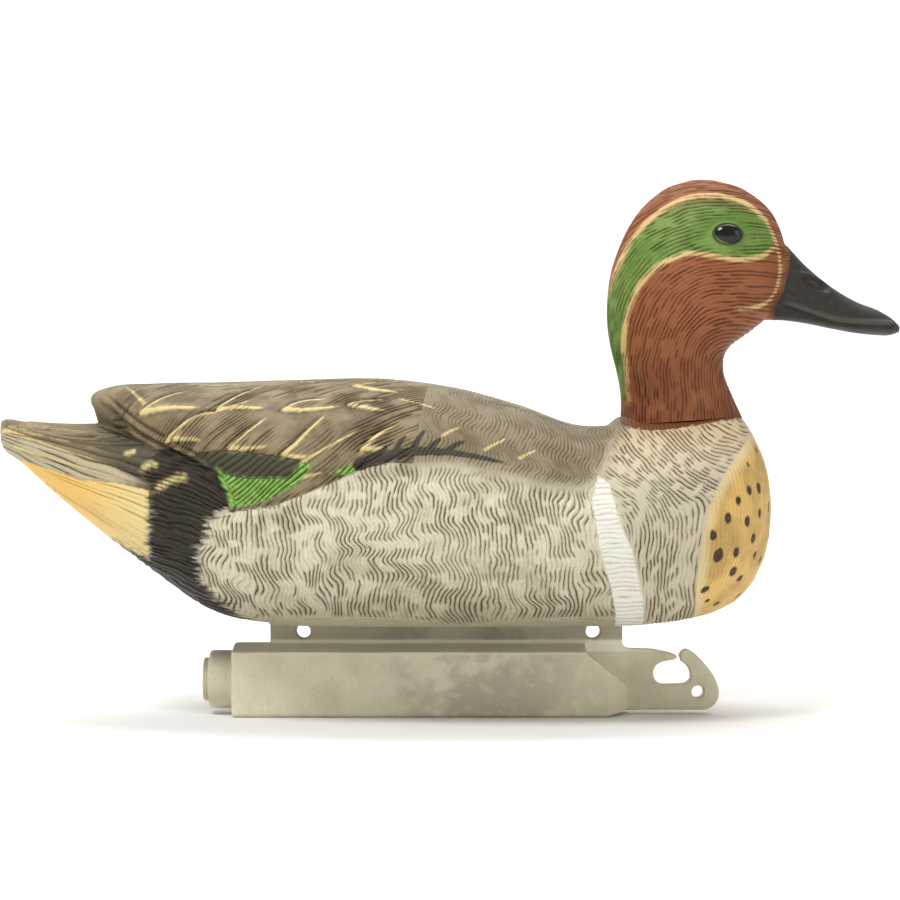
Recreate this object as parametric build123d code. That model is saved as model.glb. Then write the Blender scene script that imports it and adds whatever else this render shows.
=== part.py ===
from build123d import *
import os
from math import cos, pi, radians, sin

# Floating duck decoy, drake teal pattern. Millimetres, +X towards the bill, +Y to the duck's left, +Z up.
# The origin is on the surface that the keel stands on, under the middle of the overall length.

# ---- driving dimensions ----
wall = 2.5                  # blow-moulded wall of the body and of the head

# body mould: x, lowest z, highest z, half width, z of the widest point
body_stations = [
    (-164.5, 97.8, 107.8, 12.0, 103.3),
    (-158.0, 93.3, 107.5, 19.0, 102.3),
    (-145.0, 81.8, 106.7, 24.5, 99.3),
    (-128.0, 67.8, 106.8, 31.0, 94.3),
    (-108.0, 52.8, 110.3, 41.0, 86.3),
    (-86.0, 38.3, 115.8, 51.5, 78.3),
    (-62.0, 33.5, 119.8, 59.0, 73.3),
    (-30.0, 32.6, 121.5, 64.5, 70.3),
    (0.0, 32.6, 120.1, 66.5, 69.3),
    (25.0, 32.7, 113.5, 66.5, 68.8),
    (48.0, 32.8, 105.9, 65.0, 68.8),
    (68.0, 33.1, 107.3, 61.0, 69.3),
    (86.0, 35.2, 109.5, 53.5, 70.3),
    (98.0, 38.7, 110.7, 45.5, 71.8),
    (106.0, 43.8, 109.5, 37.5, 73.3),
    (112.0, 52.1, 99.8, 27.0, 75.3),
    (115.8, 62.3, 89.8, 15.0, 76.3),
    (117.4, 72.3, 80.8, 5.0, 76.8),
]

# folded wings over the back: x, lowest z, highest z, half width, z of the widest point
wing_stations = [
    (-131.5, 106.3, 114.8, 9.0, 110.8),
    (-124.0, 99.3, 119.3, 20.0, 110.3),
    (-108.0, 88.3, 121.3, 33.0, 106.3),
    (-84.0, 74.3, 121.7, 47.5, 98.3),
    (-55.0, 66.3, 122.6, 57.0, 92.3),
    (-20.0, 64.3, 122.7, 60.5, 88.3),
    (10.0, 64.3, 117.5, 57.0, 84.3),
    (28.0, 66.3, 110.3, 50.0, 82.3),
]

# head and neck mould: z, back x, front x, half width
head_stations = [
    (102.3, 62.0, 109.5, 19.6),
    (108.3, 62.6, 107.4, 18.6),
    (117.3, 62.6, 103.4, 17.0),
    (126.3, 61.0, 100.4, 16.6),
    (134.3, 59.0, 102.4, 17.6),
    (140.3, 58.0, 110.4, 19.2),
    (146.3, 57.6, 117.2, 20.6),
    (154.3, 58.0, 121.4, 21.6),
    (162.3, 59.2, 123.0, 21.6),
    (170.3, 61.8, 123.2, 20.4),
    (178.3, 65.4, 121.0, 18.2),
    (185.3, 70.2, 117.0, 15.2),
    (190.3, 75.6, 111.2, 11.8),
    (193.9, 81.6, 104.4, 7.8),
    (195.9, 88.6, 96.6, 3.2),
]

# bill: x, lowest z, highest z, half width
bill_stations = [
    (112.0, 146.3, 174.3, 9.0),
    (122.0, 144.5, 172.9, 9.6),
    (131.0, 143.1, 164.1, 9.4),
    (140.0, 141.3, 156.7, 9.8),
    (149.0, 139.7, 151.3, 10.8),
    (157.0, 138.9, 148.1, 10.6),
    (162.0, 138.9, 145.1, 8.0),
    (164.8, 139.9, 142.7, 3.6),
]

# neck joint: the head turns about the tilted axis through this point
neck_x, neck_z, neck_tilt = 85.0, 107.3, 3.75
seam_gap = 0.3              # between the two moulds
deck_thickness = 4.0        # top of the body under the head
neck_floor = 6.0            # bottom of the head mould
peg_radius, peg_length = 10.45, 17.5
socket_bore_radius = 10.5
socket_tube_radius, socket_length = 12.4, 14.0
socket_flange_radius, socket_flange_thickness = 15.5, 2.0
hub_flange_radius, hub_flange_thickness = 15.0, 2.0
hub_screw_circle_radius = 11.6
hub_screw_angles = (60, 180, 300)
hub_screw_length = 5.5
head_turn_limit = 90        # degrees each way, set by the stop lug in its channel
lug_inner, lug_outer, lug_height, lug_half_angle = 12.3, 14.3, 1.3, 8
washer_thickness, clip_thickness = 0.8, 1.2
clip_groove_radius, clip_outer_radius, clip_gap_angle = 9.3, 12.2, 50
clip_z = -socket_length - washer_thickness - clip_thickness - 0.3
seal_section = 1.0          # radius of the O-rings' round section
seal_z = -7.0               # O-ring's place down the peg
fit = 0.05                  # clearance of assembled pieces in their seats

# eyes
eye_x, eye_y, eye_z = 99.9, 18.5, 174.4
eye_long, eye_high, eye_deep = 5.0, 3.7, 2.0
eye_stem_radius, eye_stem_length = 1.6, 5.0

# keel
web_half = 3.3
web_rear, web_front = -65.8, 63.2
chamber_rear, chamber_front = -79.1, 64.0
chamber_half, chamber_side_top, chamber_roof = 15.0, 23.6, 26.0
chamber_wall = 2.0
filler_z, filler_radius, filler_length, filler_bore = 12.7, 10.7, 9.1, 6.6
plug_head_radius, plug_head_thickness, plug_stem = 7.9, 2.0, 13.0
mouth_x = chamber_rear - filler_length
bow_length, bow_foot_length, bow_cheek_length, bow_nose_top, bow_nose_half = 14.4, 8.6, 6.5, 11.6, 8.0
tab_bottom = 1.5
line_hole_x, line_hole_z, line_hole_radius = 90.8, 8.2, 2.3
web_hole_places = ((-53.7, 30.4), (52.4, 30.4))
web_hole_radius = 2.7
flange_rear, flange_front, flange_half = web_rear, web_front, 11.0
flange_bottom, flange_top = 33.3, 36.3
boss_top = 44.3
screw_xs, screw_y = (-44.0, 0.0, 42.0), 7.2
screw_head_radius, screw_radius, screw_length = 2.1, 1.1, 8.0
plug_seal_depth = 5.0       # O-ring's place behind the filler neck's mouth
sand_level = 13.6           # depth of the settled sand in the chamber


# ---- helpers ----
def section_points(low, high, half_width, widest, fullness, count):
    """Points of one cross section in its own (across, up) plane, starting at the bottom."""
    points = []
    for step in range(count):
        angle = -pi / 2 + 2 * pi * step / count
        across, up = cos(angle), sin(angle)
        reach = high - widest if up > 0 else widest - low
        power = 1.0 if up > 0 else fullness
        sign = 1 if across >= 0 else -1
        points.append((sign * half_width * abs(across) ** power, widest + reach * up))
    return points


def closed_wire(points):
    return Wire([Edge.make_spline([Vector(*point) for point in points], periodic=True)])


def hull_loft(stations, inset):
    """Lengthwise loft through upright sections, each pulled in by the inset."""
    wires = []
    last = len(stations) - 1
    for index, (x, low, high, half_width, widest) in enumerate(stations):
        if inset and (half_width < 3 * inset or high - low < 5 * inset):
            continue
        if inset and index in (0, last):
            continue
        outline = section_points(low + inset, high - inset, half_width - inset, widest, 0.72, 20)
        wires.append(closed_wire([(x, across, up) for across, up in outline]))
    return Solid.make_loft(wires)


def head_loft(stations, inset):
    """Upright loft through level, oval sections, each pulled in by the inset."""
    wires = []
    for z, back, front, half_width in stations:
        if inset and half_width < 3 * inset:
            continue
        middle, half_length = (back + front) / 2, (front - back) / 2 - inset
        points = []
        for step in range(16):
            angle = 2 * pi * step / 16
            points.append((middle + half_length * cos(angle), (half_width - inset) * sin(angle), z))
        wires.append(closed_wire(points))
    return Solid.make_loft(wires)


def ring(outer, inner, low, high):
    height = high - low
    return Pos(0, 0, (low + high) / 2) * (Cylinder(outer, height) - Cylinder(inner, height))


def sector(inner, outer, low, high, half_angle):
    """Part of a flat ring, centred on the local +X direction."""
    start, sweep = -half_angle, 2 * half_angle
    outline = [
        Line((inner * cos(radians(start)), inner * sin(radians(start))),
             (outer * cos(radians(start)), outer * sin(radians(start)))),
        CenterArc((0, 0), outer, start, sweep),
        Line((outer * cos(radians(-start)), outer * sin(radians(-start))),
             (inner * cos(radians(-start)), inner * sin(radians(-start)))),
        CenterArc((0, 0), inner, start, sweep),
    ]
    return Pos(0, 0, low) * extrude(make_face(Wire(outline)), amount=high - low)


def countersunk_screw(head_radius, radius, length):
    """Screw with its head's flat face at z 0, pointing up."""
    head_height = head_radius - radius
    cone = Pos(0, 0, head_height / 2) * Cone(head_radius, radius, head_height)
    shank = Pos(0, 0, length / 2) * Cylinder(radius, length)
    slot = Box(2 * head_radius, 0.6, 0.8)
    return cone + shank - slot


def screw_seat(head_radius, radius, length):
    """Hole that the screw fills, a little larger all round."""
    head_height = head_radius - radius
    cone = Pos(0, 0, head_height / 2) * Cone(head_radius + fit, radius + fit, head_height)
    return cone + Pos(0, 0, length / 2) * Cylinder(radius + fit, length + 2 * fit)


neck = Plane(origin=(neck_x, 0, neck_z), x_dir=(cos(radians(neck_tilt)), 0, sin(radians(neck_tilt))),
             z_dir=(-sin(radians(neck_tilt)), 0, cos(radians(neck_tilt)))).location
big = 400.0


# ---- body ----
def make_body_shell():
    outside = hull_loft(body_stations, 0) + hull_loft(wing_stations, 0)
    inside = hull_loft(body_stations, wall) + hull_loft(wing_stations, wall)
    above_seam = neck * Pos(0, 0, big / 2 - seam_gap / 2) * Box(60, 60, big)
    above_deck = neck * Pos(0, 0, big / 2 - seam_gap / 2 - deck_thickness) * Box(60, 60, big)
    boss_middle = (flange_rear + flange_front) / 2
    boss_length = flange_front - flange_rear + 8
    boss = Pos(boss_middle, 0, boss_top / 2) * Box(boss_length, 2 * flange_half + 8, boss_top)
    shell = (outside - above_seam) - (inside - above_deck - boss)
    flange_length = flange_front - flange_rear
    recess = Pos(boss_middle, 0, flange_top / 2) * Box(
        flange_length + 2 * fit, 2 * (flange_half + fit), flange_top + 2 * fit)
    shell -= recess
    shell -= neck * ring(socket_flange_radius + fit, 1, -socket_flange_thickness - fit, 5)
    shell -= neck * Pos(0, 0, -10) * Cylinder(socket_tube_radius + fit, 30)
    for x in screw_xs:
        for y in (-screw_y, screw_y):
            shell -= Pos(x, y, flange_bottom) * screw_seat(screw_head_radius, screw_radius, screw_length)
    return shell


def make_neck_socket():
    top = -seam_gap / 2
    flange = ring(socket_flange_radius, socket_bore_radius, -socket_flange_thickness, top)
    tube = ring(socket_tube_radius, socket_bore_radius, -socket_length, top)
    channel = sector(lug_inner - 0.3, lug_outer + 0.3, top - lug_height - 0.2, 5,
                     head_turn_limit + lug_half_angle + 1)
    return neck * (flange + tube - channel)


def make_neck_hub():
    low = seam_gap / 2
    flange = Pos(0, 0, low + hub_flange_thickness / 2) * Cylinder(hub_flange_radius, hub_flange_thickness)
    peg = Pos(0, 0, (low - peg_length) / 2) * Cylinder(peg_radius, peg_length + low)
    lug = sector(lug_inner, lug_outer, low - lug_height, low + 0.5, lug_half_angle)
    half_groove = seal_section + fit
    seal_groove = ring(peg_radius + 1, peg_radius - 2 * half_groove, seal_z - half_groove, seal_z + half_groove)
    clip_groove = ring(peg_radius + 1, clip_groove_radius - fit, clip_z - fit, clip_z + clip_thickness + fit)
    hub = flange + peg + lug - seal_groove - clip_groove
    for angle in hub_screw_angles:
        place = Rot(0, 0, angle) * Pos(hub_screw_circle_radius, 0, low)
        hub -= place * screw_seat(screw_head_radius, screw_radius, hub_screw_length)
    return neck * hub


def make_neck_hub_screws():
    screws = []
    for angle in hub_screw_angles:
        place = neck * Rot(0, 0, angle) * Pos(hub_screw_circle_radius, 0, seam_gap / 2)
        screws.append(place * countersunk_screw(screw_head_radius, screw_radius, hub_screw_length))
    return Compound(screws)


def make_neck_seal_ring():
    return neck * Pos(0, 0, seal_z) * Torus(peg_radius - seal_section - fit / 2, seal_section)


def make_neck_washer():
    top = -socket_length - 0.1
    return neck * ring(socket_tube_radius - 0.1, peg_radius + 0.2, top - washer_thickness, top)


def make_neck_clip():
    full = ring(clip_outer_radius, clip_groove_radius, clip_z, clip_z + clip_thickness)
    gap = Rot(0, 0, 180) * sector(5, 20, clip_z - 1, clip_z + 3, clip_gap_angle / 2)
    return neck * (full - gap)


# ---- head ----
def eye_solid(side, grow):
    """Domed eye, long way along the head, with a stem that points inwards."""
    dome = scale(Sphere(1), by=(eye_long + grow, eye_deep + grow, eye_high + grow))
    stem = Pos(0, -eye_stem_length / 2, 0) * Rot(90, 0, 0) * Cylinder(eye_stem_radius + grow, eye_stem_length)
    eye = Pos(eye_x, eye_y, eye_z) * (dome + stem)
    return eye if side > 0 else mirror(eye, Plane.XZ)


def make_bill():
    wires = []
    for x, low, high, half_width in bill_stations:
        outline = section_points(low, high, half_width, low + 0.4 * (high - low), 0.8, 16)
        wires.append(closed_wire([(x, across, up) for across, up in outline]))
    return Solid.make_loft(wires)


def make_head_shell():
    below_seam = neck * Pos(0, 0, seam_gap / 2 - big / 2) * Box(90, 90, big)
    below_floor = neck * Pos(0, 0, seam_gap / 2 + neck_floor - big / 2) * Box(90, 90, big)
    outside = head_loft(head_stations, 0) + make_bill() - below_seam
    shell = outside - (head_loft(head_stations, wall) - below_floor)
    shell -= neck * Pos(0, 0, hub_flange_thickness / 2 - 5) * Cylinder(
        hub_flange_radius + fit, hub_flange_thickness + 10.3 + 2 * fit)
    for angle in hub_screw_angles:
        place = neck * Rot(0, 0, angle) * Pos(hub_screw_circle_radius, 0, seam_gap / 2)
        shell -= place * screw_seat(screw_head_radius, screw_radius, hub_screw_length)
    for side in (-1, 1):
        shell -= eye_solid(side, fit)
    return shell


# ---- keel ----
def side_plate(outline, half_thickness):
    """Flat plate from an outline drawn in the x, z plane."""
    return extrude(Plane.XZ * make_face(Wire(outline)), amount=half_thickness, both=True)


def make_keel_plate():
    """Web under the belly, and in front of it the line tab with its open hook, one thickness."""
    tab_top = (66.0, 24.1)
    finger_root = (73.8, 23.8)
    finger_tip = (83.5, 21.4)
    slot_floor_rear = (78.4, 11.0)
    slot_floor_front = (84.4, 11.1)
    mouth_low, mouth_high = (84.6, 19.2), (84.4, 21.0)
    hook_nose = (98.5, 9.2)
    hook_root = (93.3, tab_bottom)
    outline = [
        Line((web_rear, 10), (web_rear, flange_bottom + 1)),
        Line((web_rear, flange_bottom + 1), (web_front, flange_bottom + 1)),
        Line((web_front, flange_bottom + 1), (web_front, 27.0)),
        Spline([(web_front, 27.0), (63.9, 24.9), tab_top], tangents=[(0, -1), (1, -0.02)]),
        Line(tab_top, finger_root),
        Spline([finger_root, (79.0, 22.9), finger_tip]),
        Spline([finger_tip, (82.6, 20.2), (78.4, 19.3), (74.9, 16.6), (75.2, 12.8), slot_floor_rear]),
        Line(slot_floor_rear, slot_floor_front),
        Spline([slot_floor_front, (88.1, 13.2), (87.6, 16.4), mouth_low]),
        Line(mouth_low, mouth_high),
        Spline([mouth_high, (84.9, 22.9), (86.6, 23.8), (88.8, 22.9), (91.8, 20.2), (96.6, 14.2), hook_nose]),
        ThreePointArc(hook_nose, (97.0, 3.6), hook_root),
        Line(hook_root, (40, tab_bottom)),
        Line((40, tab_bottom), (40, 10)),
        Line((40, 10), (web_rear, 10)),
    ]
    plate = side_plate(outline, web_half)
    plate -= Pos(line_hole_x, 0, line_hole_z) * Rot(90, 0, 0) * Cylinder(line_hole_radius, 10)
    for x, z in web_hole_places:
        plate -= Pos(x, 0, z) * Rot(90, 0, 0) * Cylinder(web_hole_radius, 10)
    return plate


def cut_across(points):
    """Wide prism across the keel, from an outline in the x, z plane."""
    outline = Polyline([(x, 0, z) for x, z in points], close=True)
    return extrude(make_face(outline), amount=2 * chamber_half, dir=(0, 1, 0), both=True)


def make_chamber(inset):
    """Ballast chamber with a ridged roof and a bow, as a solid; the inset gives its cavity."""
    half, low = chamber_half - inset, inset
    side_top, ridge = chamber_side_top - inset * 0.6, chamber_roof - inset * 1.1
    rear, front = chamber_rear + inset, chamber_front - inset
    beyond, above, below = front + 9, ridge + 9, low - 5
    starboard = [(half, low), (half, side_top), (web_half, ridge)]
    port = [(-y, z) for y, z in reversed(starboard)]
    face = make_face(Polyline([(0, y, z) for y, z in starboard + port], close=True))
    body = Pos(rear, 0, 0) * extrude(face, amount=front - rear, dir=(1, 0, 0))
    deck_x, deck_z, nose_z = front - bow_length, side_top - 0.4, bow_nose_top - inset
    body -= cut_across([(deck_x, above), (deck_x, deck_z), (front, nose_z), (beyond, nose_z), (beyond, above)])
    foot_x, foot_z = front - bow_foot_length, low + tab_bottom
    body -= cut_across([(foot_x, below), (foot_x, low), (front, foot_z), (beyond, foot_z), (beyond, below)])
    cheek_x, outer = front - bow_cheek_length, half + 9
    for side in (-1, 1):
        cheek = Polyline([(cheek_x, side * outer, below), (cheek_x, side * half, below),
                          (front, side * bow_nose_half, below), (beyond, side * bow_nose_half, below),
                          (beyond, side * outer, below)], close=True)
        body -= extrude(make_face(cheek), amount=above - below, dir=(0, 0, 1))
    return body


def make_keel():
    outer = make_chamber(0)
    outer = fillet(outer.edges().filter_by(Axis.X).sort_by(Axis.Z)[:2], 1.6)
    flange_middle = (flange_rear + flange_front) / 2
    flange = Pos(flange_middle, 0, (flange_bottom + flange_top) / 2) * Box(
        flange_front - flange_rear, 2 * flange_half, flange_top - flange_bottom)
    neck_middle = chamber_rear - filler_length / 2
    filler = Pos(neck_middle + 1, 0, filler_z) * Rot(0, 90, 0) * Cylinder(filler_radius, filler_length + 2)
    filler = fillet(filler.edges().sort_by(Axis.X)[0], 1.2)
    keel = outer + make_keel_plate() + flange + filler
    keel -= make_chamber(chamber_wall)
    keel -= Pos(chamber_rear, 0, filler_z) * Rot(0, 90, 0) * Cylinder(filler_bore, 30)
    for x in screw_xs:
        for y in (-screw_y, screw_y):
            keel -= Pos(x, y, flange_bottom) * screw_seat(screw_head_radius, screw_radius, screw_length)
    return keel


def make_ballast():
    gap = 0.1
    fill = make_chamber(chamber_wall + gap)
    above = Pos(0, 0, sand_level + big / 2) * Box(big, big, big)
    plug_room = Pos(chamber_rear, 0, filler_z) * Rot(0, 90, 0) * Cylinder(filler_bore + 1, 2 * plug_stem)
    return fill - above - plug_room


def make_keel_plug():
    """Push-in plug; its head covers the end of the filler neck."""
    head = Pos(mouth_x - plug_head_thickness / 2 - fit, 0, filler_z) * Rot(0, 90, 0) * Cylinder(
        plug_head_radius, plug_head_thickness)
    head = fillet(head.edges().sort_by(Axis.X)[0], 0.6)
    stem = Pos(mouth_x + plug_stem / 2 - 0.5, 0, filler_z) * Rot(0, 90, 0) * Cylinder(
        filler_bore - fit, plug_stem + 1)
    groove = Pos(mouth_x + plug_seal_depth, 0, filler_z) * Rot(0, 90, 0) * ring(
        filler_bore + 1, filler_bore - 2 * seal_section - 2 * fit, -seal_section - fit, seal_section + fit)
    return head + stem - groove


def make_plug_seal():
    ring_radius = filler_bore - seal_section - fit
    return Pos(mouth_x + plug_seal_depth, 0, filler_z) * Rot(0, 90, 0) * Torus(ring_radius, seal_section)


def make_keel_screws():
    screws = []
    for x in screw_xs:
        for y in (-screw_y, screw_y):
            screw = countersunk_screw(screw_head_radius, screw_radius, screw_length)
            screws.append(Pos(x, y, flange_bottom) * screw)
    return Compound(screws)


nodes = {
    "body_shell": make_body_shell(),
    "neck_socket": make_neck_socket(),
    "neck_hub": make_neck_hub(),
    "neck_hub_screws": make_neck_hub_screws(),
    "neck_seal_ring": make_neck_seal_ring(),
    "neck_washer": make_neck_washer(),
    "neck_clip": make_neck_clip(),
    "head_shell": make_head_shell(),
    "left_eye": eye_solid(1, 0),
    "right_eye": eye_solid(-1, 0),
    "keel": make_keel(),
    "keel_ballast": make_ballast(),
    "keel_plug": make_keel_plug(),
    "keel_plug_seal": make_plug_seal(),
    "keel_screws": make_keel_screws(),
}

os.makedirs("parts", exist_ok=True)
for name, shape in nodes.items():
    export_step(shape, f"parts/{name}.step")
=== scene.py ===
from math import pi, radians

import bmesh
import bpy
import numpy as np
from mathutils import Matrix, Vector


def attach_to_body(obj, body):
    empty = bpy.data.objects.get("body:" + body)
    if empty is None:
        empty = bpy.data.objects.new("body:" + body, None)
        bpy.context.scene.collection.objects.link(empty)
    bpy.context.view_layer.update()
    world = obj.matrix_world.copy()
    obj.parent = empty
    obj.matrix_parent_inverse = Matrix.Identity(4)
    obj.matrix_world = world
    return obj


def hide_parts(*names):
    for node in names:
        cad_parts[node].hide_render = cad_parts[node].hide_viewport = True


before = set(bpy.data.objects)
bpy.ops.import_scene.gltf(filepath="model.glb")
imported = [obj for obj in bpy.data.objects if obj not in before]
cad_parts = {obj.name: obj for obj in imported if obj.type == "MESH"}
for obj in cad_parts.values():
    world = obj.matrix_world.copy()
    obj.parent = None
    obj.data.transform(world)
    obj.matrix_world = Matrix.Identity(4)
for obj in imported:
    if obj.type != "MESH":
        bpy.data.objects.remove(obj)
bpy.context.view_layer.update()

# Floating duck decoy, drake teal pattern. Shapes are laid out in millimetres in the frame's own
# axes (+X to the bill, +Y to the duck's left, +Z up) and built in metres.
MM = 0.001

# ---- camera: side view, level with the middle of the body ----
CAMERA_DISTANCE = 900.0
CAMERA_HEIGHT = 96.8
VIEW_WIDTH = 330.75         # width of the view in the duck's middle plane

# ---- body mould: x, lowest z, highest z, half width, z of the widest point ----
HULL = [
    (-164.5, 98.8, 107.8, 4.5, 103.3),
    (-162.6, 96.3, 108.2, 12, 103),
    (-158, 93.3, 107.5, 18, 102.3),
    (-145, 81.8, 106.7, 24.5, 99.3),
    (-128, 67.8, 106.8, 31, 94.3),
    (-108, 52.8, 110.3, 41, 86.3),
    (-86, 38.3, 115.8, 51.5, 78.3),
    (-62, 33.5, 119.8, 59, 73.3),
    (-30, 32.6, 121.5, 64.5, 70.3),
    (0, 32.6, 120.1, 66.5, 69.3),
    (25, 32.7, 113.5, 66.5, 68.8),
    (48, 32.8, 105.9, 65, 68.8),
    (68, 33.1, 107.3, 61, 69.3),
    (86, 35.2, 109.5, 53.5, 70.3),
    (98, 38.7, 110.7, 45.5, 71.8),
    (106, 43.8, 109.5, 37.5, 73.3),
    (112, 52.1, 99.8, 27, 75.3),
    (115.8, 62.3, 89.8, 15, 76.3),
    (117.4, 72.3, 80.8, 5, 76.8),
]
# ---- folded wings: x, lowest z, highest z, half width of the pair, z of the widest point ----
WING = [
    (-131.5, 113.3, 117, 3.5, 115.2),
    (-129.8, 111.2, 118.3, 10, 114),
    (-127.6, 105.3, 119.2, 15, 111.5),
    (-124, 99.3, 120.2, 20, 110.3),
    (-108, 88.3, 121.3, 35, 106.3),
    (-84, 74.3, 121.7, 50, 98.3),
    (-55, 66.3, 122.6, 58.5, 92.3),
    (-20, 64.3, 122.7, 61, 88.3),
    (10, 64.3, 117.5, 57, 84.3),
    (28, 66.3, 110.3, 50, 82.3),
]
# ---- head mould: z, back x, front x, half width ----
HEAD = [
    (102.3, 62, 109.5, 20),
    (108.3, 62.6, 107.4, 18.9),
    (117.3, 62.6, 103.4, 17.2),
    (126.3, 61, 100.4, 16.6),
    (134.3, 59, 102.4, 17.6),
    (140.3, 58, 110.4, 19.2),
    (146.3, 57.6, 117.2, 20.6),
    (154.3, 58, 121.4, 21.6),
    (162.3, 59.2, 123, 21.6),
    (170.3, 61.8, 123.2, 20.4),
    (178.3, 65.4, 121, 18.2),
    (185.3, 70.2, 117, 15.2),
    (190.3, 75.6, 111.2, 11.8),
    (193.9, 81.6, 104.4, 7.8),
    (195.9, 88.6, 96.6, 3.2),
]
# ---- bill: x, lowest z, highest z, half width ----
BILL = [
    (112, 144.2, 174.3, 9),
    (122, 144.3, 172.9, 9.6),
    (131, 143.1, 164.1, 9.4),
    (140, 141.3, 156.7, 9.8),
    (149, 139.7, 151.3, 10.8),
    (157, 138.9, 148.1, 10.6),
    (162, 138.9, 145.1, 8),
    (164.8, 139.9, 142.7, 3.6),
]

# The seam between head and body: a plane through the neck's pivot, square to its axis.
PIVOT = Vector((85.0, 0.0, 107.3))
SEAM_SLOPE = 0.0655
DECK_DROP = 0.05            # the body stops this far under the seam plane
FOOT_DROP = 0.02            # and the head this far
DECK_REAR = 44              # the level deck under the neck starts at this x
LIP_HEIGHT = 3.2            # of the skin behind the neck
NECK_CLEAR = 23.3           # radius round the pivot that the lip stays out of


def new_object(name, data):
    """An object in the scene that shows the data."""
    made = bpy.data.objects.new(name, data)
    bpy.context.scene.collection.objects.link(made)
    return made


# ---- shapes ----
def rows_between(stations, count):
    """Smooth rows between stations: cubic pieces with finite-difference slopes."""
    rows = np.array(stations, float)
    at = rows[:, 0]
    slopes = np.gradient(rows, at, axis=0)
    wanted = np.linspace(at[0], at[-1], count)
    k = np.clip(np.searchsorted(at, wanted) - 1, 0, len(at) - 2)
    gap = (at[k + 1] - at[k])[:, None]
    u = ((wanted - at[k]) / gap[:, 0])[:, None]
    near, leave, arrive = 2 * u**3 - 3 * u**2 + 1, u**3 - 2 * u**2 + u, u**3 - u**2
    start = near * rows[k] + leave * gap * slopes[k]
    return start + (1 - near) * rows[k + 1] + arrive * gap * slopes[k + 1]


def across_and_up(around, upper_power, lower_power):
    """A ring that runs round a section: flatter below its widest point when the power is low."""
    angle = np.linspace(0, 2 * pi, around, endpoint=False)
    across, up = np.cos(angle), np.sin(angle)
    power = np.where(up >= 0, upper_power, lower_power)
    return np.sign(across) * np.abs(across) ** power, up


def lengthwise_tube(stations, widest_share=None, powers=(1.0, 0.72), count=160, around=144):
    """Rings square to X from (x, low, high, half width, widest z) rows."""
    across, up = across_and_up(around, *powers)
    rings = []
    for row in rows_between(stations, count):
        x, low, high, half = row[:4]
        widest = row[4] if widest_share is None else low + widest_share * (high - low)
        z = widest + np.where(up >= 0, up * (high - widest), up * (widest - low))
        rings.append(np.stack([np.full(around, x), across * half, z], axis=1))
    return rings


def upright_tube(stations, count=150, around=120):
    """Level elliptic rings from (z, back x, front x, half width) rows."""
    angle = np.linspace(0, 2 * pi, around, endpoint=False)
    rings = []
    for z, back, front, half in rows_between(stations, count):
        x = (back + front) / 2 + np.cos(angle) * (front - back) / 2
        rings.append(np.stack([x, np.sin(angle) * half, np.full(around, z)], axis=1))
    return rings


def skin_of(name, tubes, voxel, relax):
    """One closed skin round several overlapping tubes, in millimetres."""
    verts, faces = [], []
    for rings in tubes:
        base = sum(len(v) for v in verts)
        rings = np.array(rings)
        count, around = rings.shape[:2]
        verts.append(rings.reshape(-1, 3))
        for i in range(count - 1):
            for j in range(around):
                k = (j + 1) % around
                quad = (i * around + j, i * around + k, (i + 1) * around + k, (i + 1) * around + j)
                faces.append(tuple(base + q for q in quad))
        faces.append(tuple(base + j for j in reversed(range(around))))
        faces.append(tuple(base + (count - 1) * around + j for j in range(around)))
    mesh = bpy.data.meshes.new(name + "_lofts")
    mesh.from_pydata(np.concatenate(verts).tolist(), [], faces)
    bm = bmesh.new()
    bm.from_mesh(mesh)
    bmesh.ops.recalc_face_normals(bm, faces=bm.faces)
    bm.to_mesh(mesh)
    bm.free()
    return remeshed(name, mesh, voxel, relax)


def remeshed(name, mesh, voxel, relax):
    """An even quad skin over a mesh, with its voxel steps relaxed away."""
    lump = new_object(name + "_lump", mesh)
    grid = lump.modifiers.new("grid", "REMESH")
    grid.mode = "VOXEL"
    grid.voxel_size = voxel
    smooth = lump.modifiers.new("smooth", "SMOOTH")
    smooth.factor = 0.5
    smooth.iterations = relax
    view = bpy.context.evaluated_depsgraph_get()
    skin = bpy.data.meshes.new_from_object(lump.evaluated_get(view))
    skin.name = name
    bpy.data.objects.remove(lump)
    bpy.data.meshes.remove(mesh)
    return skin


def points_of(mesh):
    """Vertex places and normals as two arrays."""
    places = np.empty(len(mesh.vertices) * 3)
    mesh.vertices.foreach_get("co", places)
    normals = np.empty(len(mesh.vertices) * 3)
    mesh.vertex_normals.foreach_get("vector", normals)
    return places.reshape(-1, 3), normals.reshape(-1, 3)


def put_points(mesh, places):
    mesh.vertices.foreach_set("co", places.reshape(-1))
    mesh.update()


def finish_piece(name, mesh, material, body, replaced):
    """Scales a millimetre mesh to metres and adds it to the scene on its body."""
    places, _ = points_of(mesh)
    put_points(mesh, places * MM)
    mesh.shade_smooth()
    mesh.materials.clear()
    mesh.materials.append(material)
    piece = new_object(name, mesh)
    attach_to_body(piece, body)
    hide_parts(*replaced)
    return piece


# ---- patterns ----
REACH = 12.0                # the areas' signed distances stop here


def ease(low, high, value):
    t = np.clip((value - low) / (high - low), 0, 1)
    return t * t * (3 - 2 * t)


def bell(value, width):
    """1 where the value is 0, and nearly 0 two widths away."""
    return np.exp(-((value / width) ** 2))


def crest(phase):
    """1 at whole phases and 0 halfway between them."""
    return 0.5 + 0.5 * np.cos(2 * pi * phase)


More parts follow.
